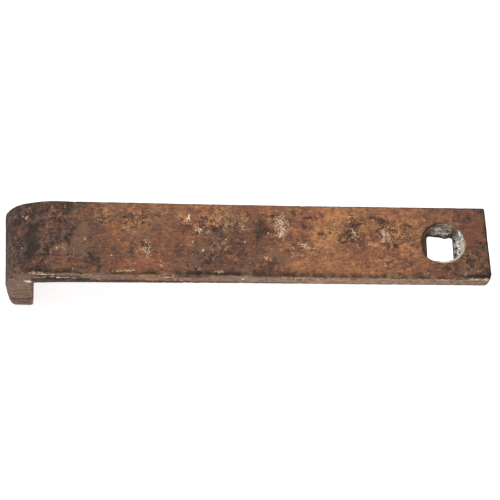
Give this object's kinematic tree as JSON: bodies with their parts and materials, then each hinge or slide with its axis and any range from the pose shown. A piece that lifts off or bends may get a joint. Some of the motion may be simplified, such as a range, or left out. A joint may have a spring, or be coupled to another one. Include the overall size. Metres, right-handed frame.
{
  "type": "hooked latch bar",
  "caption": "Flat forged steel bar bent square into a catch toe at one end, with an eye at the other: a round recess over a square hole.",
  "frame": {"origin": "centre of the square hole, on the flat back face", "axes": "+X along the bar from the toe to the eye's end, +Y across the bar, +Z out of the front face, so the toe points to -Z"},
  "size_m": [0.3207, 0.0508, 0.0635],
  "materials": {
    "rusted_steel": "old brown rust and forge scale over steel, with bare worn metal inside the eye"
  },
  "bodies": {
    "root": {"latch_bar": "rusted_steel"}
  },
  "joints": []
}
